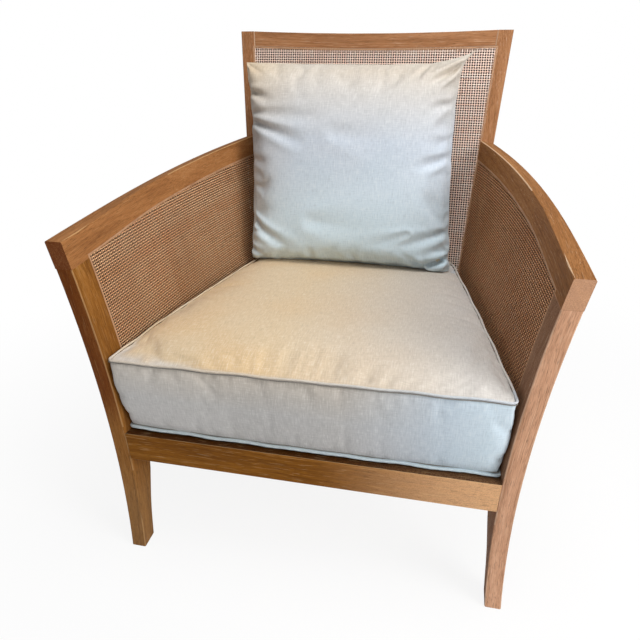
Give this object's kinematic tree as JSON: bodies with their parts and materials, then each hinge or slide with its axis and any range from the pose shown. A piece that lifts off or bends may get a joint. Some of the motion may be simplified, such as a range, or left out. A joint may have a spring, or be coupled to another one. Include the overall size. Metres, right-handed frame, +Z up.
{
  "type": "accent armchair",
  "caption": "Low hardwood accent armchair with bowed woven-cane arms and a reclined woven-cane back, carrying a loose boxed seat cushion and a loose back pillow.",
  "frame": {"origin": "on the floor, at the middle of the chair's bounding box seen from above", "axes": "+Z up, +Y from the front of the seat to the back, +X to the right as seen from the front"},
  "size_m": [0.7494, 0.72, 0.857],
  "materials": {
    "frame_wood": "satin oiled oak with pale limed grain",
    "hidden_wood": "planed, unfinished",
    "cane": "woven cane, matte",
    "reed_bead": "round reed, satin",
    "screw_steel": "zinc plated",
    "glide": "matte moulded",
    "linen": "plain-weave linen, matte",
    "filling": "foam and fibre filling"
  },
  "bodies": {
    "frame": {"front_leg_left": "frame_wood", "front_leg_right": "frame_wood", "rear_leg_left": "frame_wood", "rear_leg_right": "frame_wood", "arm_rail_left": "frame_wood", "arm_rail_right": "frame_wood", "side_rail_left": "frame_wood", "side_rail_right": "frame_wood", "front_rail": "frame_wood", "rear_rail": "frame_wood", "back_top_rail": "frame_wood", "back_lower_rail": "frame_wood", "arm_dowels": "hidden_wood", "corner_blocks": "hidden_wood", "corner_block_screws": "screw_steel", "cleat_left": "hidden_wood", "cleat_right": "hidden_wood", "cleat_screws": "screw_steel", "seat_slats": "hidden_wood", "slat_screws": "screw_steel", "arm_cane_inner_left": "cane", "arm_cane_inner_right": "cane", "arm_cane_outer_left": "cane", "arm_cane_outer_right": "cane", "arm_bead_inner_left": "reed_bead", "arm_bead_inner_right": "reed_bead", "arm_bead_outer_left": "reed_bead", "arm_bead_outer_right": "reed_bead", "back_cane_front": "cane", "back_cane_rear": "cane", "back_bead_front": "reed_bead", "back_bead_rear": "reed_bead", "foot_glides": "glide"},
    "seat_cushion": {"seat_cushion_cover": "linen", "seat_cushion_core": "filling"},
    "back_pillow": {"back_pillow_cover": "linen", "back_pillow_filling": "filling"}
  },
  "joints": [
    {"name": "seat_cushion_lift", "type": "slide", "parent": "frame", "child": "seat_cushion", "axis": [0, 0, 1], "range_m": [0, 0.4]},
    {"name": "back_pillow_lift", "type": "slide", "parent": "seat_cushion", "child": "back_pillow", "axis": [0, 0, 1], "range_m": [0, 0.45]}
  ]
}
